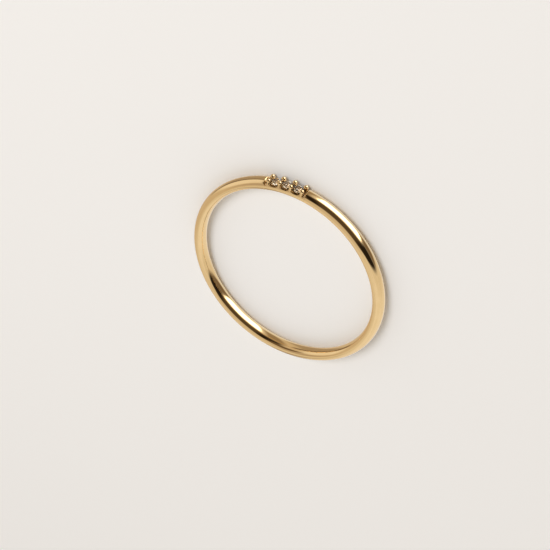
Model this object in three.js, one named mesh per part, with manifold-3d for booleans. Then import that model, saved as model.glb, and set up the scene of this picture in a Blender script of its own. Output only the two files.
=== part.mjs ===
// Stackable ring: a slim domed gold band with three small round stones held by shared prongs.
// Millimetres, +Z up. The ring lies on its side, so its axis is +Z and its lower side is z = 0.
// The row of stones faces -Y.

import * as THREE from "three";
import { mergeVertices } from "three/addons/utils/BufferGeometryUtils.js";
import Module from "manifold-3d";

// Band: two half ovals that meet where the band is widest
const boreDiameter = 17.3;
const bandWidth = 1.34; // along the finger
const innerDome = 0.48; // from the finger to the widest place
const outerDome = 0.6; // from the widest place to the crown

// Stones: round brilliants, with the usual proportions as shares of their diameter
const stoneCount = 3;
const stoneDiameter = 1.0;
const stoneGap = 0.08; // between the girdles of two neighbours
const girdleDepth = 0.26; // from the band's crown down to the girdles
const cut = {
  table: 0.57,
  crown: 0.15,
  star: 0.79,
  girdle: 0.04,
  pavilion: 0.43,
  lowerHalf: 0.26,
};

// Setting: pairs of prongs with round tips, and rounded cuts between them
const seatClearance = 0.03; // between a stone and the metal
const prongAngle = 34; // degrees round a stone, from the row to a prong's tip
const beadDiameter = 0.42;
const beadRise = 0.15; // top of a bead above the band's crown
const prongDiameter = 0.34;
const prongInset = 0.02; // from the band's side to a prong
const kneeDepth = 0.25; // from the crown to where a prong bends in over the stones
const saddleDepth = 0.32; // from the crown to the metal between the prongs
const scallopDepth = 0.45; // from the crown to the floor of the cut under each stone
const scallopCorner = 0.2;
const shoulderGap = 0.17; // between an end prong and the shoulder of the band
const grooveWidth = 0.15;
const grooveDepth = 0.45;

// Fineness of the round shapes
const bandSections = 80;
const sectionSides = 20;
const arcSteps = 3; // half the flats of each arc in a drawn shape
const prongSides = 12;
const prongSteps = 4;
const beadRows = 8;
const cutOverrun = 1; // how far a cutting shape runs past the metal

const boreRadius = boreDiameter / 2;
const widestRadius = boreRadius + innerDome;
const crownRadius = widestRadius + outerDome;
const girdleRadius = crownRadius - girdleDepth;
const middle = bandWidth / 2;
const stonePitch = stoneDiameter + stoneGap;
const stoneStep = stonePitch / girdleRadius;
const rowEnd = (stoneCount * stoneStep) / 2;
const grooveAngle = rowEnd + (prongDiameter + shoulderGap) / 2 / girdleRadius;
const shoulderAngle = rowEnd + (prongDiameter / 2 + shoulderGap) / girdleRadius;

const gold = new THREE.MeshStandardMaterial({ color: 0xd9b679, roughness: 0.1, metalness: 1 });
const clearStone = new THREE.MeshStandardMaterial({ color: 0xeef1f4, roughness: 0.02, metalness: 0 });

const wasm = await Module();
wasm.setup();

function toSolid(geometry) {
  geometry.deleteAttribute("normal");
  geometry.deleteAttribute("uv");
  const merged = mergeVertices(geometry);
  const vertProperties = new Float32Array(merged.attributes.position.array);
  const triVerts = new Uint32Array(merged.index.array);
  return new wasm.Manifold(new wasm.Mesh({ numProp: 3, vertProperties, triVerts }));
}

function toGeometry(solid) {
  const { vertProperties, triVerts } = solid.getMesh();
  const geometry = new THREE.BufferGeometry();
  geometry.setAttribute("position", new THREE.BufferAttribute(vertProperties, 3));
  geometry.setIndex(new THREE.BufferAttribute(triVerts, 1));
  geometry.computeVertexNormals();
  return geometry;
}

// The plain band. Its section is a polygon round the oval, with a flat face on either side.
function makeBand() {
  const step = (2 * Math.PI) / sectionSides;
  const outside = 1 / Math.cos(step / 2);
  const profile = [];
  for (let i = 0; i <= sectionSides; i += 1) {
    const angle = (i + 0.5) * step;
    const dome = Math.cos(angle) > 0 ? outerDome : innerDome;
    const radius = widestRadius + dome * outside * Math.cos(angle);
    const height = middle + middle * outside * Math.sin(angle);
    profile.push(new THREE.Vector2(radius, height));
  }
  return toSolid(new THREE.LatheGeometry(profile, bandSections).rotateX(Math.PI / 2));
}

// A shape drawn in the ring's plane, cut straight through the band's width
function throughCut(shape) {
  const settings = { depth: bandWidth + 2 * cutOverrun, bevelEnabled: false, curveSegments: arcSteps };
  return new THREE.ExtrudeGeometry(shape, settings).translate(0, 0, -cutOverrun);
}

// Room for the setting, between the band's two shoulders
function makeSaddle() {
  const start = -Math.PI / 2 - shoulderAngle;
  const end = -Math.PI / 2 + shoulderAngle;
  const shape = new THREE.Shape();
  shape.absarc(0, 0, crownRadius - saddleDepth, start, end, false);
  shape.absarc(0, 0, crownRadius + cutOverrun, end, start, true);
  shape.closePath();
  return toSolid(throughCut(shape));
}

// A cut with rounded corners at its floor, at an angle along the row
function makeNotch(angle, width, depth, corner) {
  const floor = depth - crownRadius;
  const side = width / 2;
  const shape = new THREE.Shape();
  shape.moveTo(-side, -crownRadius - cutOverrun);
  shape.lineTo(side, -crownRadius - cutOverrun);
  shape.absarc(side - corner, floor - corner, corner, 0, Math.PI / 2, false);
  shape.absarc(corner - side, floor - corner, corner, Math.PI / 2, Math.PI, false);
  shape.closePath();
  return toSolid(throughCut(shape).rotateZ(angle));
}

// A prong stands on the band's side and bends in to its round tip. Side is 1 above the row, -1 below it.
function makeProng(angle, side) {
  const footOffset = middle - prongDiameter / 2 - prongInset;
  const tipOffset = (stonePitch / 2) * Math.tan(THREE.MathUtils.degToRad(prongAngle));
  const foot = new THREE.Vector3(0, -widestRadius, middle + side * footOffset);
  const knee = new THREE.Vector3(0, kneeDepth - crownRadius, middle + side * footOffset);
  const tip = new THREE.Vector3(0, beadDiameter / 2 - crownRadius - beadRise, middle + side * tipOffset);
  const section = new THREE.Shape().absarc(0, 0, prongDiameter / 2, 0, 2 * Math.PI, false);
  const post = new THREE.ExtrudeGeometry(section, {
    extrudePath: new THREE.QuadraticBezierCurve3(foot, knee, tip),
    steps: prongSteps,
    curveSegments: prongSides / 2,
  });
  const bead = new THREE.SphereGeometry(beadDiameter / 2, prongSides, beadRows);
  bead.translate(tip.x, tip.y, tip.z);
  return toSolid(post.rotateZ(angle)).add(toSolid(bead.rotateZ(angle)));
}

// A round brilliant, its table at +Z and its girdle's middle at the origin
function makeBrilliant(diameter) {
  const radius = diameter / 2;
  const girdleTop = (cut.girdle * diameter) / 2;
  const tableHeight = girdleTop + cut.crown * diameter;
  const tableRadius = radius * cut.table;
  const culetHeight = -girdleTop - cut.pavilion * diameter;
  const eighth = Math.PI / 4;
  const flatShare = Math.cos(eighth / 2);
  const crownSlope = (tableHeight - girdleTop) / (radius - tableRadius);
  const starHeight = girdleTop + crownSlope * radius * (1 - cut.star * flatShare);
  const lowerHeight = culetHeight + (-girdleTop - culetHeight) * cut.lowerHalf * flatShare;
  const points = [];
  const corner = (share, turn, height) => {
    points.push(radius * share * Math.cos(turn * eighth), radius * share * Math.sin(turn * eighth), height);
    return points.length / 3 - 1;
  };
  const eight = (make) => Array.from({ length: 8 }, (unused, k) => make(k));
  const table = eight((k) => corner(cut.table, k, tableHeight));
  const stars = eight((k) => corner(cut.star, k + 0.5, starHeight));
  const upper = eight((k) => corner(1, k, girdleTop));
  const upperHalf = eight((k) => corner(1, k + 0.5, girdleTop));
  const lower = eight((k) => corner(1, k, -girdleTop));
  const lowerHalf = eight((k) => corner(1, k + 0.5, -girdleTop));
  const pavilion = eight((k) => corner(cut.lowerHalf, k + 0.5, lowerHeight));
  const culet = corner(0, 0, culetHeight);
  const faces = [];
  for (let k = 0; k < 8; k += 1) {
    const next = (k + 1) % 8;
    const last = (k + 7) % 8;
    if (k > 0 && k < 7) {
      faces.push(table[0], table[k], table[next]);
    }
    faces.push(table[k], stars[k], table[next]);
    faces.push(table[k], stars[last], upper[k], table[k], upper[k], stars[k]);
    faces.push(stars[k], upper[k], upperHalf[k], stars[k], upperHalf[k], upper[next]);
    faces.push(upper[k], lower[k], lowerHalf[k], upper[k], lowerHalf[k], upperHalf[k]);
    faces.push(upperHalf[k], lowerHalf[k], lower[next], upperHalf[k], lower[next], upper[next]);
    faces.push(pavilion[k], lowerHalf[k], lower[k], pavilion[k], lower[next], lowerHalf[k]);
    faces.push(culet, lower[k], pavilion[last], culet, pavilion[k], lower[k]);
  }
  const geometry = new THREE.BufferGeometry();
  geometry.setAttribute("position", new THREE.Float32BufferAttribute(points, 3));
  geometry.setIndex(faces);
  return geometry;
}

// A stone of a given size in its place in the row, its table facing out
function placeBrilliant(diameter, angle) {
  return makeBrilliant(diameter).rotateX(Math.PI / 2).translate(0, -girdleRadius, middle).rotateZ(angle);
}

function makeMetal(stoneAngles) {
  let metal = makeBand().subtract(makeSaddle());
  for (const angle of stoneAngles) {
    metal = metal.subtract(makeNotch(angle, stonePitch - prongDiameter, scallopDepth, scallopCorner));
  }
  for (const angle of [-grooveAngle, grooveAngle]) {
    metal = metal.subtract(makeNotch(angle, grooveWidth, grooveDepth, grooveWidth / 2));
  }
  for (let pair = 0; pair <= stoneCount; pair += 1) {
    const angle = pair * stoneStep - rowEnd;
    metal = metal.add(makeProng(angle, 1)).add(makeProng(angle, -1));
  }
  for (const angle of stoneAngles) {
    metal = metal.subtract(toSolid(placeBrilliant(stoneDiameter + 2 * seatClearance, angle)));
  }
  return metal;
}

const ring = new THREE.Group();
const stoneAngles = Array.from({ length: stoneCount }, (unused, i) => (i + 0.5) * stoneStep - rowEnd);

const metalMesh = new THREE.Mesh(toGeometry(makeMetal(stoneAngles)), gold);
metalMesh.name = "band_with_setting";
ring.add(metalMesh);

stoneAngles.forEach((angle, i) => {
  const stone = new THREE.Mesh(placeBrilliant(stoneDiameter, angle), clearStone);
  stone.name = `stone_${i + 1}`;
  ring.add(stone);
});

export default ring;
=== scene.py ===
import math

import bpy
from mathutils import Matrix, Vector


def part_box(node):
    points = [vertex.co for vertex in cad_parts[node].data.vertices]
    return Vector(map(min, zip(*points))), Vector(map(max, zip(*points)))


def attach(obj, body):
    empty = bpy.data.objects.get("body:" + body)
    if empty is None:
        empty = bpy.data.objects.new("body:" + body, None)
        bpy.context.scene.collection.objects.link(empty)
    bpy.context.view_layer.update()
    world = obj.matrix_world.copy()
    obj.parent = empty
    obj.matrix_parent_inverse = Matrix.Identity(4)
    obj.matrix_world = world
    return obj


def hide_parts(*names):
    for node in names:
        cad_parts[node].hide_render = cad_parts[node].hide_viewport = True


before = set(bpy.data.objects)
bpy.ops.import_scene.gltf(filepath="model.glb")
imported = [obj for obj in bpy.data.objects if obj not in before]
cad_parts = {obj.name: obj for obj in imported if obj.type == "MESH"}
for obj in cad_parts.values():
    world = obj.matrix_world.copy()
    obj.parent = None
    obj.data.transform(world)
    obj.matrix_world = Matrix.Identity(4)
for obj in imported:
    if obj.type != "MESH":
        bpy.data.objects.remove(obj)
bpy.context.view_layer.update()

# A slim gold stacking ring with three small stones. Shapes are worked in millimetres round the
# ring's axis and brought to metres when they are finished.
perMetre = 1000
tiny = 1e-4          # two points closer than this, in millimetres, are one
tinyTurn = 1e-5      # the same for turns round the axis, in radians
endFace = 0.9        # the ends of a cylinder have normals at least this upright
scene = bpy.context.scene

goldHigh = [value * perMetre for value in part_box("band_with_setting")[1]]

band = {
    "crown": goldHigh[0],          # radius of the outside
    "middle": goldHigh[2] / 2,     # height of the middle plane
    "outerDome": 0.6,              # from the widest place out to the crown
    "innerDome": 0.48,             # from the widest place in to the finger
    "sectionPoints": 48,
    "stations": 360,
    "sharpTurn": 35,               # degrees between faces, past which an edge stays sharp
}
band["widest"] = band["crown"] - band["outerDome"]

stone = {
    "count": 3,
    "diameter": 1.0,
    "gap": 0.08,                   # between two neighbours
    "depthOfGirdle": 0.26,         # below the crown of the band
    "girdle": 0.035,               # thickness of the stone's edge
    "turnInSeat": 11.25,           # degrees, round the stone's own axis
    "roundPoints": 64,
    "cutMargin": 1e-6,
    "table": 0.285,                # half width of the table, corner to corner
    "crownTilt": 34.5,
    "pavilionTilt": 40.75,
    "star": {"count": 8, "turn": 22.5, "tilt": 22.6},
}
stone["facets"] = [                # as a cutter sets them: above or below, how many, first turn, tilt
    {"name": "main", "side": 1, "count": 8, "turn": 0.0, "tilt": stone["crownTilt"]},
    {"name": "upper half", "side": 1, "count": 16, "turn": 11.25, "tilt": 39.5},
    {"name": "pavilion", "side": -1, "count": 8, "turn": 0.0, "tilt": stone["pavilionTilt"]},
    {"name": "lower half", "side": -1, "count": 16, "turn": 11.25, "tilt": 41.5},
]
stone["radius"] = stone["diameter"] / 2
stone["seat"] = band["crown"] - stone["depthOfGirdle"]     # radius that the girdles lie on
stone["pitch"] = stone["diameter"] + stone["gap"]
stone["step"] = stone["pitch"] / stone["seat"]
stone["rowEnd"] = stone["step"] * stone["count"] / 2

setting = {
    "clearance": 0.03,             # round a stone in its seat
    "beadRadius": 0.21,
    "beadPoints": 32,
    "beadRows": 20,
    "beadRise": 0.15,              # top of a bead above the crown
    "beadTurn": 34,                # degrees round a stone, from the row to a bead
    "prongRadius": 0.17,
    "prongPoints": 32,
    "prongInset": 0.005,           # from the band's side
    "saddle": 0.32,                # depth of the metal between the prongs, under the crown
    "scallop": 0.45,               # depth of the cuts under the stones
    "scallopCorner": 0.2,
    "shoulderGap": 0.17,           # from an end prong to the shoulder
    "groove": 0.15,
    "grooveDepth": 0.45,
    "grooveCorner": 0.49,          # share of the groove's width
    "rim": 0.1,                    # rounding of the shoulder's edge
    "rimSteps": 6,
    "coreInset": 0.001,            # keeps the core just inside the hoop
    "floorMargin": 0.001,          # faces this near the saddle's floor get the cut metal, darkened with painted shade
    "prongRings": [                # up a prong: share of its height, of its lean, of its thickness
        {"up": 0.3, "lean": 0.04, "thick": 0.92},
        {"up": 0.5, "lean": 0.2, "thick": 0.84},
        {"up": 0.7, "lean": 0.5, "thick": 0.84},
        {"up": 1.0, "lean": 1.0, "thick": 0.88},
    ],
}
grooveAway = setting["prongRadius"] + setting["shoulderGap"] / 2
setting["grooveTurn"] = stone["rowEnd"] + grooveAway / stone["seat"]
shoulderAway = setting["prongRadius"] + setting["shoulderGap"]
setting["shoulderTurn"] = stone["rowEnd"] + shoulderAway / stone["seat"]
stoneTurns = [(i + 0.5) * stone["step"] - stone["rowEnd"] for i in range(stone["count"])]
pairTurns = [i * stone["step"] - stone["rowEnd"] for i in range(stone["count"] + 1)]


# Small helpers round the operators

def clearSelection():
    if bpy.context.object and bpy.context.object.mode != "OBJECT":
        bpy.ops.object.mode_set(mode="OBJECT")
    bpy.ops.object.select_all(action="DESELECT")


def pick(obj):
    clearSelection()
    obj.select_set(True)
    bpy.context.view_layer.objects.active = obj


def named(name):
    obj = bpy.context.object
    obj.name = name
    obj.data.name = name
    return obj


def editAll(obj):
    pick(obj)
    bpy.ops.object.mode_set(mode="EDIT")
    bpy.ops.mesh.select_mode(type="VERT")
    bpy.ops.mesh.select_all(action="SELECT")


def editWhere(obj, kind, test):
    # goes into edit mode with only the vertices, edges or faces chosen by the test
    pick(obj)
    bpy.ops.object.mode_set(mode="EDIT")
    bpy.ops.mesh.select_mode(type=kind)
    bpy.ops.mesh.select_all(action="DESELECT")
    bpy.ops.object.mode_set(mode="OBJECT")
    parts = {"VERT": obj.data.vertices, "EDGE": obj.data.edges, "FACE": obj.data.polygons}[kind]
    for part in parts:
        part.select = test(part)
    bpy.ops.object.mode_set(mode="EDIT")


def endEdit():
    bpy.ops.object.mode_set(mode="OBJECT")


def tidyMesh(obj):
    editAll(obj)
    bpy.ops.mesh.remove_doubles(threshold=tiny)
    bpy.ops.mesh.normals_make_consistent(inside=False)
    endEdit()


def applyPlace(obj):
    pick(obj)
    bpy.ops.object.transform_apply(location=True, rotation=True, scale=True)


def turnedCopy(obj, name, turn):
    # its own mesh, turned round the ring's axis
    pick(obj)
    bpy.ops.object.duplicate(linked=False)
    copy = named(name)
    copy.rotation_euler = (0, 0, turn)
    applyPlace(copy)
    return copy


def joinAll(objects, name):
    clearSelection()
    for obj in objects:
        obj.select_set(True)
    bpy.context.view_layer.objects.active = objects[0]
    bpy.ops.object.join()
    return named(name)


def combine(target, tool, operation):
    pick(target)
    bpy.ops.object.modifier_add(type="BOOLEAN")
    modifier = target.modifiers[-1]
    modifier.object = tool
    modifier.operation = operation
    modifier.solver = "MANIFOLD"
    modifier.material_mode = "TRANSFER"
    bpy.ops.object.modifier_apply(modifier=modifier.name)
    bpy.data.objects.remove(tool, do_unlink=True)
    return target


def toMetres(obj):
    pick(obj)
    obj.scale = [1 / perMetre] * 3
    applyPlace(obj)


# The band: an oval section, domed more outside than inside. A core runs all the way round, as high as
# the metal between the prongs, and a hoop in full height runs round it from shoulder to shoulder.

def makeSection(name):
    centre = (band["widest"], 0, band["middle"])
    clearSelection()
    bpy.ops.mesh.primitive_circle_add(vertices=band["sectionPoints"], radius=1, location=centre,
                                      rotation=(math.pi / 2, 0, 0))
    section = named(name)
    applyPlace(section)
    for side, dome in [(1, band["outerDome"]), (-1, band["innerDome"])]:
        editWhere(section, "VERT", lambda v: side * (v.co.x - centre[0]) > tiny)
        bpy.ops.transform.resize(value=(dome, 1, 1), center_override=centre)
        endEdit()
    editAll(section)
    bpy.ops.transform.resize(value=(1, 1, band["middle"]), center_override=centre)
    endEdit()
    return section


def makeCore(polished, cutMetalPaintedShade):
    core = makeSection("bandCore")
    floor = band["crown"] - setting["saddle"]
    shrink = 1 - setting["coreInset"] / band["outerDome"]
    editAll(core)
    bpy.ops.transform.resize(value=(shrink, 1, shrink), center_override=(band["widest"], 0, band["middle"]))
    endEdit()
    editWhere(core, "VERT", lambda v: v.co.x > floor)
    bpy.ops.transform.resize(value=(0, 1, 1), center_override=(floor, 0, 0))
    endEdit()
    editAll(core)
    bpy.ops.mesh.spin(steps=band["stations"], angle=2 * math.pi, center=(0, 0, 0), axis=(0, 0, 1))
    endEdit()
    tidyMesh(core)
    core.data.materials.append(polished)
    core.data.materials.append(cutMetalPaintedShade)
    # the saddle's floor between the prongs takes the cut metal, whose darker colour is painted shade
    cutRadius = floor - setting["floorMargin"]
    editWhere(core, "FACE", lambda f: math.hypot(f.center.x, f.center.y) > cutRadius)
    core.active_material_index = 1
    bpy.ops.object.material_slot_assign()
    endEdit()
    return core


def makeHoop():
    hoop = makeSection("hoop")
    start = setting["shoulderTurn"] + setting["rim"] / band["crown"]
    hoop.rotation_euler = (0, 0, -math.pi / 2 - start)
    applyPlace(hoop)
    editAll(hoop)
    bpy.ops.mesh.spin(steps=band["stations"], angle=2 * (math.pi - start), center=(0, 0, 0), axis=(0, 0, 1))
    endEdit()
    for side in (-1, 1):
        roundShoulder(hoop, side, side * start)
    tidyMesh(hoop)
    return hoop


def roundShoulder(hoop, side, turn):
    # the open end is drawn in along a quarter circle, then closed
    along = Vector((-side * math.cos(turn), -side * math.sin(turn), 0))
    centre = Vector((math.sin(turn) * band["widest"], -math.cos(turn) * band["widest"], band["middle"]))
    editWhere(hoop, "VERT", lambda v: abs(math.atan2(v.co.x, -v.co.y) - turn) < tinyTurn)
    moved, size = 0, 1
    for i in range(1, setting["rimSteps"] + 1):
        angle = math.pi / 2 * i / setting["rimSteps"]
        ahead = setting["rim"] * math.sin(angle)
        narrow = 1 - setting["rim"] * (1 - math.cos(angle)) / band["outerDome"]
        bpy.ops.mesh.extrude_region_move(TRANSFORM_OT_translate={"value": along * (ahead - moved)})
        bpy.ops.transform.resize(value=[narrow / size] * 3, center_override=centre + along * ahead)
        moved, size = ahead, narrow
    bpy.ops.mesh.edge_face_add()
    endEdit()


# Cutters for the setting

cutter = {
    "height": 1.0,                 # of a notch cutter, from its floor out past the crown
    "length": 3,                   # of a notch cutter, in half widths of the band
    "cornerSteps": 8,
    "seatPoints": 48,
    "seatDepth": 0.92,             # share of the pavilion, whose tip is left in the metal
    "seatTip": 0.08,               # width there, as a share of the stone's
}


def makeNotchCutter(name, width, depth, corner, turn):
    # a block with two rounded edges at its floor
    floor = band["crown"] - depth
    clearSelection()
    bpy.ops.mesh.primitive_cube_add(size=1, location=(0, -floor - cutter["height"] / 2, band["middle"]),
                                    scale=(width, cutter["height"], band["middle"] * cutter["length"]))
    notch = named(name)
    applyPlace(notch)
    points = notch.data.vertices

    def onFloor(edge):
        a, b = (points[i].co for i in edge.vertices)
        return a.y > -floor - tiny and b.y > -floor - tiny and abs(a.x - b.x) < tiny

    editWhere(notch, "EDGE", onFloor)
    bpy.ops.mesh.bevel(offset=corner, segments=cutter["cornerSteps"], profile=0.5)
    endEdit()
    notch.rotation_euler = (0, 0, turn)
    applyPlace(notch)
    return notch


def makeSeatCutter(name, turn):
    # the shape of a stone in the round, a clearance larger
    radius = stone["radius"] + setting["clearance"]
    grow = radius / stone["radius"]
    table = stone["table"] * grow
    crown = (radius - table) * math.tan(math.radians(stone["crownTilt"]))
    pavilion = radius * math.tan(math.radians(stone["pavilionTilt"]))
    clearSelection()
    bpy.ops.mesh.primitive_cylinder_add(vertices=cutter["seatPoints"], radius=radius,
                                        depth=stone["girdle"] * grow, location=(0, 0, 0))
    seat = named(name)
    ends = [(1, crown, table), (-1, pavilion * cutter["seatDepth"], radius * cutter["seatTip"])]
    for side, height, end in ends:
        editWhere(seat, "FACE", lambda f: side * f.normal.z > endFace)
        bpy.ops.mesh.extrude_region_move(TRANSFORM_OT_translate={"value": (0, 0, side * height)})
        bpy.ops.transform.resize(value=(end / radius, end / radius, 1), center_override=(0, 0, side * height))
        endEdit()
    seatStone(seat, turn)
    return seat


def seatStone(obj, turn):
    # from the bench, table up, to its place in the row, table out
    place = Matrix.Translation((0, -stone["seat"], band["middle"]))
    obj.matrix_world = Matrix.Rotation(turn, 4, "Z") @ place @ Matrix.Rotation(math.pi / 2, 4, "X")
    applyPlace(obj)


# Prongs: one claw with a round tip, copied to both sides of each gap between stones

def makeProng(side):
    inset = setting["prongRadius"] + setting["prongInset"]
    spread = stone["pitch"] / 2 * math.tan(math.radians(setting["beadTurn"]))
    tipDepth = setting["beadRadius"] - setting["beadRise"]
    foot = Vector((0, -band["widest"], band["middle"] * (1 + side) - side * inset))
    tip = Vector((0, -band["crown"] + tipDepth, band["middle"] + side * spread))
    clearSelection()
    bpy.ops.mesh.primitive_circle_add(vertices=setting["prongPoints"], radius=setting["prongRadius"],
                                      fill_type="NGON", location=foot, rotation=(math.pi / 2, 0, 0))
    prong = named("prong")
    applyPlace(prong)
    editAll(prong)
    last = foot
    thick = 1
    for row in setting["prongRings"]:
        rise = (tip.y - foot.y) * row["up"]
        lean = (tip.z - foot.z) * row["lean"]
        place = Vector((0, foot.y + rise, foot.z + lean))
        bpy.ops.mesh.extrude_region_move(TRANSFORM_OT_translate={"value": place - last})
        bpy.ops.transform.resize(value=[row["thick"] / thick] * 3, center_override=place)
        last = place
        thick = row["thick"]
    endEdit()
    tidyMesh(prong)
    clearSelection()
    bpy.ops.mesh.primitive_uv_sphere_add(segments=setting["beadPoints"], ring_count=setting["beadRows"],
                                         radius=setting["beadRadius"], location=tip)
    bead = named("bead")
    applyPlace(bead)
    return combine(prong, bead, "UNION")


def openEdges(obj):
    # edges that don't join just two faces
    uses = {}
    for face in obj.data.polygons:
        for key in face.edge_keys:
            uses[key] = uses.get(key, 0) + 1
    return sum(1 for count in uses.values() if count != 2)


def makeGold(polished, cutMetalPaintedShade):
    ring = makeCore(polished, cutMetalPaintedShade)
    hoop = makeHoop()
    hoop.data.materials.append(polished)
    print("core and hoop ready, open edges:", openEdges(ring), openEdges(hoop))
    combine(ring, hoop, "UNION")
    print("shoulders joined, open edges:", openEdges(ring))
    cuts = [makeNotchCutter("scallop", stone["pitch"] - 2 * setting["prongRadius"], setting["scallop"],
                            setting["scallopCorner"], turn) for turn in stoneTurns]
    cuts += [makeNotchCutter("groove", setting["groove"], setting["grooveDepth"],
                             setting["groove"] * setting["grooveCorner"],
                             side * setting["grooveTurn"]) for side in (-1, 1)]
    notches = joinAll(cuts, "notches")
    # the notches' cut faces take the cut metal, darkened with painted shade
    notches.data.materials.append(cutMetalPaintedShade)
    combine(ring, notches, "DIFFERENCE")
    print("scallops and grooves cut, open edges:", openEdges(ring))
    prongs = []
    for side in (-1, 1):
        prong = makeProng(side)
        prongs += [turnedCopy(prong, "prongCopy", turn) for turn in pairTurns]
        bpy.data.objects.remove(prong, do_unlink=True)
    claws = joinAll(prongs, "claws")
    claws.data.materials.append(polished)
    combine(ring, claws, "UNION")
    print("prongs soldered, open edges:", openEdges(ring))
    seats = joinAll([makeSeatCutter("seat", turn) for turn in stoneTurns], "seats")
    # the seats' cut faces take the cut metal, darkened with painted shade
    seats.data.materials.append(cutMetalPaintedShade)
    combine(ring, seats, "DIFFERENCE")
    print("seats cut, open edges:", openEdges(ring))
    tidyMesh(ring)
    toMetres(ring)
    pick(ring)
    bpy.ops.object.shade_smooth_by_angle(angle=math.radians(band["sharpTurn"]))
    # large faces keep their own direction beside the cuts
    bpy.ops.object.modifier_add(type="WEIGHTED_NORMAL")
    ring.modifiers[-1].keep_sharp = True
    bpy.ops.object.modifier_apply(modifier=ring.modifiers[-1].name)
    return named("goldRing")


# Stones: a round blank, cut facet by facet

def cutFacet(blank, point, normal):
    editAll(blank)
    bpy.ops.mesh.bisect(plane_co=point, plane_no=normal, use_fill=True, clear_outer=True,
                        threshold=stone["cutMargin"])
    endEdit()


def makeBrilliant():
    radius = stone["radius"]
    half = stone["girdle"] / 2
    crown = (radius - stone["table"]) * math.tan(math.radians(stone["crownTilt"]))
    pavilion = radius * math.tan(math.radians(stone["pavilionTilt"]))
    clearSelection()
    bpy.ops.mesh.primitive_cylinder_add(vertices=stone["roundPoints"], radius=radius,
                                        depth=crown + pavilion + 2 * half,
                                        location=(0, 0, (crown - pavilion) / 2))
    blank = named("brilliant")
    applyPlace(blank)
    for kind in stone["facets"]:
        tilt = math.radians(kind["tilt"])
        for i in range(kind["count"]):
            turn = math.radians(kind["turn"]) + 2 * math.pi * i / kind["count"]
            out = Vector((math.cos(turn), math.sin(turn), 0))
            normal = out * math.sin(tilt) + Vector((0, 0, kind["side"] * math.cos(tilt)))
            cutFacet(blank, out * radius + Vector((0, 0, kind["side"] * half)), normal)
        print("facets cut:", kind["name"], kind["count"])
    star = stone["star"]
    tilt = math.radians(star["tilt"])
    inset = stone["table"] * math.cos(math.radians(star["turn"]))
    for i in range(star["count"]):
        turn = math.radians(star["turn"]) + 2 * math.pi * i / star["count"]
        out = Vector((math.cos(turn), math.sin(turn), 0))
        normal = out * math.sin(tilt) + Vector((0, 0, math.cos(tilt)))
        cutFacet(blank, out * inset + Vector((0, 0, half + crown)), normal)
    print("facets cut: star", star["count"])
    tidyMesh(blank)
    return blank


# Materials

def newTree(name):
    material = bpy.data.materials.new(name)
    material.use_nodes = True
    nodes = material.node_tree.nodes
    return material, nodes, material.node_tree.links, nodes["Principled BSDF"]


def mathNode(nodes, links, operation, first, second=None):
    node = nodes.new("ShaderNodeMath")
    node.operation = operation
    for i, value in enumerate(v for v in (first, second) if v is not None):
        if isinstance(value, (int, float)):
            node.inputs[i].default_value = value
        else:
            links.new(value, node.inputs[i])
    return node.outputs[0]


wearLooks = {
    "drawnOut": 0.0003,            # metres of pattern for each radian, so lines run long round the band
    "used": (0.3, 0.7),            # the span of a noise's values that is spread over a result
    "lineDetail": 4,
    "streakDetail": 2,
    "markDetail": 3,
    "dentStrength": 0.5,
    "markShade": (0.4, 1),         # how much of the deep colour a mark lets through
}


def makeWearGroup():
    # fine polishing lines that run round the band, and a few soft marks
    group = bpy.data.node_groups.new("polishLines", "ShaderNodeTree")
    for name in ("Line Scale", "Streak Scale", "Mark Scale"):
        group.interface.new_socket(name, in_out="INPUT", socket_type="NodeSocketFloat")
    for name in ("Lines", "Streaks", "Marks"):
        group.interface.new_socket(name, in_out="OUTPUT", socket_type="NodeSocketFloat")
    nodes, links = group.nodes, group.links
    start = nodes.new("NodeGroupInput")
    end = nodes.new("NodeGroupOutput")
    place = nodes.new("ShaderNodeTexCoord")
    split = nodes.new("ShaderNodeSeparateXYZ")
    links.new(place.outputs["Object"], split.inputs[0])
    across = mathNode(nodes, links, "POWER", split.outputs[0], 2.0)
    along = mathNode(nodes, links, "POWER", split.outputs[1], 2.0)
    radius = mathNode(nodes, links, "SQRT", mathNode(nodes, links, "ADD", across, along))
    turn = mathNode(nodes, links, "ARCTAN2", split.outputs[1], split.outputs[0])
    stretched = nodes.new("ShaderNodeCombineXYZ")
    links.new(mathNode(nodes, links, "MULTIPLY", turn, wearLooks["drawnOut"]), stretched.inputs[0])
    links.new(radius, stretched.inputs[1])
    links.new(split.outputs[2], stretched.inputs[2])
    noises = [
        ("Line Scale", "Lines", stretched.outputs[0], wearLooks["lineDetail"]),
        ("Streak Scale", "Streaks", stretched.outputs[0], wearLooks["streakDetail"]),
        ("Mark Scale", "Marks", place.outputs["Object"], wearLooks["markDetail"]),
    ]
    for scale, output, vector, detail in noises:
        noise = nodes.new("ShaderNodeTexNoise")
        noise.inputs["Detail"].default_value = detail
        links.new(vector, noise.inputs["Vector"])
        links.new(start.outputs[scale], noise.inputs["Scale"])
        links.new(noise.outputs["Fac"], end.inputs[output])
    return group


def spread(nodes, links, value, low, high):
    # brings the used span of a noise to a range of its own
    node = nodes.new("ShaderNodeMapRange")
    node.inputs["From Min"].default_value = wearLooks["used"][0]
    node.inputs["From Max"].default_value = wearLooks["used"][1]
    node.inputs["To Min"].default_value = low
    node.inputs["To Max"].default_value = high
    links.new(value, node.inputs["Value"])
    return node.outputs["Result"]


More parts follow.
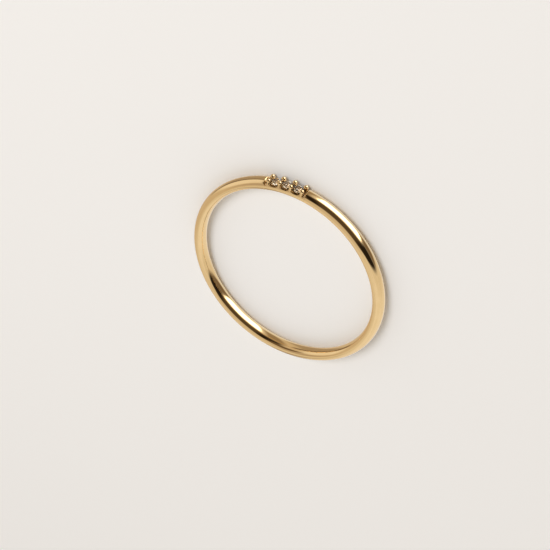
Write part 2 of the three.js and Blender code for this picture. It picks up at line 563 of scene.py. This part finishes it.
goldLooks = {
    "polishedGold": {
        "light": (0.87, 0.635, 0.335, 1),
        "deep": (0.79, 0.56, 0.28, 1),
        "rough": (0.05, 0.1),
        "dent": 5e-6,
        "lines": 9000.0,
        "streaks": 4500.0,
        "marks": 1500.0,
    },
    "cutGoldPaintedShade": {                   # inside the seats, scallops and grooves: rougher cut metal whose colour is darkened with painted shade
        "light": (0.50, 0.36, 0.195, 1),
        "deep": (0.23, 0.16, 0.08, 1),
        "rough": (0.2, 0.4),
        "dent": 1e-6,
        "lines": 14000.0,
        "streaks": 5000.0,
        "marks": 6000.0,
    },
}


def makeGoldMaterial(name, wear):
    looks = goldLooks[name]
    material, nodes, links, shader = newTree(name)
    group = nodes.new("ShaderNodeGroup")
    group.node_tree = wear
    group.inputs["Line Scale"].default_value = looks["lines"]
    group.inputs["Streak Scale"].default_value = looks["streaks"]
    group.inputs["Mark Scale"].default_value = looks["marks"]
    colour = nodes.new("ShaderNodeMix")
    colour.data_type = "RGBA"
    colour.inputs["A"].default_value = looks["light"]
    colour.inputs["B"].default_value = looks["deep"]
    streaks = spread(nodes, links, group.outputs["Streaks"], 0, 1)
    marks = spread(nodes, links, group.outputs["Marks"], *wearLooks["markShade"])
    links.new(mathNode(nodes, links, "MULTIPLY", streaks, marks), colour.inputs["Factor"])
    links.new(colour.outputs["Result"], shader.inputs["Base Color"])
    links.new(spread(nodes, links, group.outputs["Lines"], *looks["rough"]), shader.inputs["Roughness"])
    shader.inputs["Metallic"].default_value = 1.0
    bump = nodes.new("ShaderNodeBump")
    bump.inputs["Distance"].default_value = looks["dent"]
    bump.inputs["Strength"].default_value = wearLooks["dentStrength"]
    links.new(group.outputs["Streaks"], bump.inputs["Height"])
    links.new(bump.outputs["Normal"], shader.inputs["Normal"])
    return material


# the warm colours painted into the stones are a painted reflection of the gold around them
stoneLooks = {
    "paintedReflectionLight": (1.0, 0.90, 0.72, 1),
    "paintedReflectionDeep": (0.95, 0.81, 0.59, 1),
    "rough": (0.0, 0.02),
    "smudgeAndReflection": 2500.0,
    "smudgeAndReflectionDetail": 2,
    "bending": 2.05,               # index of refraction
}


def makeStoneMaterial():
    material, nodes, links, shader = newTree("clearBrilliant")
    place = nodes.new("ShaderNodeTexCoord")
    smudgeAndReflection = nodes.new("ShaderNodeTexNoise")
    smudgeAndReflection.inputs["Scale"].default_value = stoneLooks["smudgeAndReflection"]
    smudgeAndReflection.inputs["Detail"].default_value = stoneLooks["smudgeAndReflectionDetail"]
    links.new(place.outputs["Object"], smudgeAndReflection.inputs["Vector"])
    # the stones' warm colour is a painted reflection of the gold; one noise varies it together with the
    # roughness
    colour = nodes.new("ShaderNodeMix")
    colour.data_type = "RGBA"
    colour.inputs["A"].default_value = stoneLooks["paintedReflectionLight"]
    colour.inputs["B"].default_value = stoneLooks["paintedReflectionDeep"]
    links.new(spread(nodes, links, smudgeAndReflection.outputs["Fac"], 0, 1), colour.inputs["Factor"])
    links.new(colour.outputs["Result"], shader.inputs["Base Color"])
    links.new(spread(nodes, links, smudgeAndReflection.outputs["Fac"], *stoneLooks["rough"]), shader.inputs["Roughness"])
    shader.inputs["Metallic"].default_value = 0.0
    shader.inputs["Transmission Weight"].default_value = 1.0
    shader.inputs["IOR"].default_value = stoneLooks["bending"]
    return material


# Studio: what the metal mirrors, by direction seen from the ring. Turn is degrees from +X, rise is degrees
# up, half is half a patch's width, and soft is the width of its soft sides and of its soft top and foot.

studioBase = (0.83, 0.80, 0.75)
studioPatches = {
    "topGlow": {"turn": 0, "half": 200, "rise": (66, 100), "soft": (12, 12), "light": (0.72, 0.66, 0.58)},
    "lowGlow": {"turn": 0, "half": 200, "rise": (-100, -62), "soft": (8, 8), "light": (0.86, 0.88, 0.92)},
    "dimQuarter": {"turn": -15, "half": 60, "rise": (-60, 60), "soft": (18, 14), "light": (0.70, 0.62, 0.52)},
    "dimTop": {"turn": -8, "half": 30, "rise": (44, 72), "soft": (10, 7), "light": (0.55, 0.48, 0.42)},
    "lensGlow": {"turn": -22, "half": 24, "rise": (-2, 38), "soft": (8, 8), "light": (0.95, 0.92, 0.88)},
    "dimSide": {"turn": -24, "half": 26, "rise": (-60, -10), "soft": (8, 5), "light": (0.45, 0.38, 0.31)},
    "horizonLine": {"turn": -25, "half": 34, "rise": (-13, -5), "soft": (4, 3), "light": (0.13, 0.10, 0.07)},
    "brightSide": {"turn": 118, "half": 32, "rise": (-60, 60), "soft": (14, 14), "light": (0.95, 0.94, 0.93)},
    "thinLine": {"turn": 69, "half": 3, "rise": (-28, 36), "soft": (4, 8), "light": (0.42, 0.37, 0.31)},
    "brownSide": {"turn": -169, "half": 15, "rise": (-62, -14), "soft": (6, 8), "light": (0.22, 0.17, 0.12)},
    "brownNear": {"turn": -80, "half": 12, "rise": (-58, 8), "soft": (5, 8), "light": (0.36, 0.29, 0.21)},
    "brownWall": {"turn": -124, "half": 54, "rise": (4, 66), "soft": (7, 9), "light": (0.10, 0.072, 0.042)},
    "blackEdge": {"turn": -86, "half": 12, "rise": (16, 62), "soft": (6, 8), "light": (0.022, 0.015, 0.009)},
    "brownHigh": {"turn": -60, "half": 20, "rise": (28, 62), "soft": (8, 6), "light": (0.18, 0.13, 0.08)},
    "blackGap": {"turn": -169, "half": 15, "rise": (-14, 50), "soft": (6, 9), "light": (0.022, 0.017, 0.012)},
    "softbox": {"turn": -125.5, "half": 27, "rise": (-58, -8), "soft": (3, 8), "light": (3.8, 3.7, 3.7)},
}


def makePatchGroup():
    # 1 inside a soft-edged patch of the sky, 0 outside it
    group = bpy.data.node_groups.new("skyPatch", "ShaderNodeTree")
    for name in ("Turn", "Half", "Low", "High", "Side Soft", "Top Soft"):
        group.interface.new_socket(name, in_out="INPUT", socket_type="NodeSocketFloat")
    group.interface.new_socket("Mask", in_out="OUTPUT", socket_type="NodeSocketFloat")
    nodes, links = group.nodes, group.links
    start = nodes.new("NodeGroupInput")
    end = nodes.new("NodeGroupOutput")
    place = nodes.new("ShaderNodeTexCoord")
    split = nodes.new("ShaderNodeSeparateXYZ")
    links.new(place.outputs["Generated"], split.inputs[0])
    halfTurn = 180
    degrees = halfTurn / math.pi
    upward = mathNode(nodes, links, "ARCSINE", split.outputs[2])
    around = mathNode(nodes, links, "ARCTAN2", split.outputs[1], split.outputs[0])
    rise = mathNode(nodes, links, "MULTIPLY", upward, degrees)
    turn = mathNode(nodes, links, "MULTIPLY", around, degrees)
    wrapped = nodes.new("ShaderNodeMath")
    wrapped.operation = "WRAP"
    wrapped.inputs[1].default_value = halfTurn
    wrapped.inputs[2].default_value = -halfTurn
    links.new(mathNode(nodes, links, "SUBTRACT", turn, start.outputs["Turn"]), wrapped.inputs[0])
    aside = mathNode(nodes, links, "ABSOLUTE", wrapped.outputs[0])
    edges = [
        ("Side Soft", mathNode(nodes, links, "SUBTRACT", start.outputs["Half"], aside)),
        ("Top Soft", mathNode(nodes, links, "SUBTRACT", rise, start.outputs["Low"])),
        ("Top Soft", mathNode(nodes, links, "SUBTRACT", start.outputs["High"], rise)),
    ]
    mask = 1.0
    for soft, edge in edges:
        step = nodes.new("ShaderNodeMapRange")
        step.interpolation_type = "SMOOTHSTEP"
        links.new(edge, step.inputs["Value"])
        links.new(mathNode(nodes, links, "MULTIPLY", start.outputs[soft], -1.0), step.inputs["From Min"])
        links.new(start.outputs[soft], step.inputs["From Max"])
        mask = mathNode(nodes, links, "MULTIPLY", step.outputs["Result"], mask)
    links.new(mask, end.inputs["Mask"])
    return group


def makeWorld():
    world = bpy.data.worlds.new("studio")
    scene.world = world
    world.use_nodes = True
    nodes, links = world.node_tree.nodes, world.node_tree.links
    patchGroup = makePatchGroup()
    colour = None
    for patchName, patch in studioPatches.items():
        mask = nodes.new("ShaderNodeGroup")
        mask.node_tree = patchGroup
        mask.label = patchName
        values = {
            "Turn": patch["turn"],
            "Half": patch["half"],
            "Low": patch["rise"][0],
            "High": patch["rise"][1],
            "Side Soft": patch["soft"][0],
            "Top Soft": patch["soft"][1],
        }
        for name, value in values.items():
            mask.inputs[name].default_value = value
        mix = nodes.new("ShaderNodeMix")
        mix.data_type = "RGBA"
        if colour:
            links.new(colour, mix.inputs["A"])
        else:
            mix.inputs["A"].default_value = (*studioBase, 1)
        mix.inputs["B"].default_value = (*patch["light"], 1)
        links.new(mask.outputs["Mask"], mix.inputs["Factor"])
        colour = mix.outputs["Result"]
    links.new(colour, nodes["Background"].inputs["Color"])


floorLooks = {"size": 4.0, "colour": (0.955, 0.955, 0.955, 1), "rough": 0.6, "shine": 0.1}


def makeFloor():
    clearSelection()
    bpy.ops.mesh.primitive_plane_add(size=floorLooks["size"], location=(0, 0, 0))
    floor = named("studioFloor")
    material, nodes, links, shader = newTree("paleFloor")
    shader.inputs["Base Color"].default_value = floorLooks["colour"]
    shader.inputs["Roughness"].default_value = floorLooks["rough"]
    shader.inputs["Specular IOR Level"].default_value = floorLooks["shine"]
    floor.data.materials.append(material)
    floor.visible_glossy = False      # the metal and the stones mirror the studio all round
    floor.visible_transmission = False


cameraLooks = {
    "position": (-0.048291, -0.079108, 0.085168),
    "right": (-0.86447, 0.00442, -0.50266),
    "up": (0.31523, -0.77414, -0.54894),
    "lens": 91.64,
    "sensor": 36,
    "nearest": 0.005,
    "farthest": 10,
}


def makeCamera():
    data = bpy.data.cameras.new("camera")
    camera = bpy.data.objects.new("camera", data)
    scene.collection.objects.link(camera)
    right = Vector(cameraLooks["right"])
    up = Vector(cameraLooks["up"])
    turn = Matrix((right, up, right.cross(up))).transposed().to_4x4()
    camera.matrix_world = Matrix.Translation(cameraLooks["position"]) @ turn
    data.lens = cameraLooks["lens"]
    data.sensor_width = cameraLooks["sensor"]
    data.clip_start = cameraLooks["nearest"]
    data.clip_end = cameraLooks["farthest"]
    scene.camera = camera


lamp = {"turn": -60, "rise": 55, "distance": 0.4, "size": 0.25, "power": 0.68}


def makeLamp():
    turn, rise = math.radians(lamp["turn"]), math.radians(lamp["rise"])
    direction = Vector((math.cos(turn) * math.cos(rise), math.sin(turn) * math.cos(rise), math.sin(rise)))
    data = bpy.data.lights.new("softLamp", "AREA")
    data.shape = "DISK"
    data.size = lamp["size"]
    data.energy = lamp["power"]
    light = bpy.data.objects.new("softLamp", data)
    scene.collection.objects.link(light)
    light.location = direction * lamp["distance"]
    light.rotation_euler = direction.to_track_quat("Z", "Y").to_euler()
    light.visible_glossy = False


wear = makeWearGroup()
polished = makeGoldMaterial("polishedGold", wear)
# rougher metal for the cuts, its colour darkened with painted shade for the recesses
cutMetalPaintedShade = makeGoldMaterial("cutGoldPaintedShade", wear)
clear = makeStoneMaterial()

goldRing = makeGold(polished, cutMetalPaintedShade)
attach(goldRing, "root")
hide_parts("band_with_setting")
print("gold ring ready, faces:", len(goldRing.data.polygons))

brilliant = makeBrilliant()
for i, turn in enumerate(stoneTurns):
    gem = turnedCopy(brilliant, f"brilliant_{i + 1}", math.radians(stone["turnInSeat"]))
    seatStone(gem, turn)
    toMetres(gem)
    gem.data.materials.append(clear)
    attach(gem, "root")
    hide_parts(f"stone_{i + 1}")
    print("stone", i + 1, "set, faces:", len(gem.data.polygons), "open edges:", openEdges(gem))
bpy.data.objects.remove(brilliant, do_unlink=True)

makeWorld()
makeFloor()
makeLamp()
makeCamera()
scene.view_settings.view_transform = "Standard"
print("studio ready")
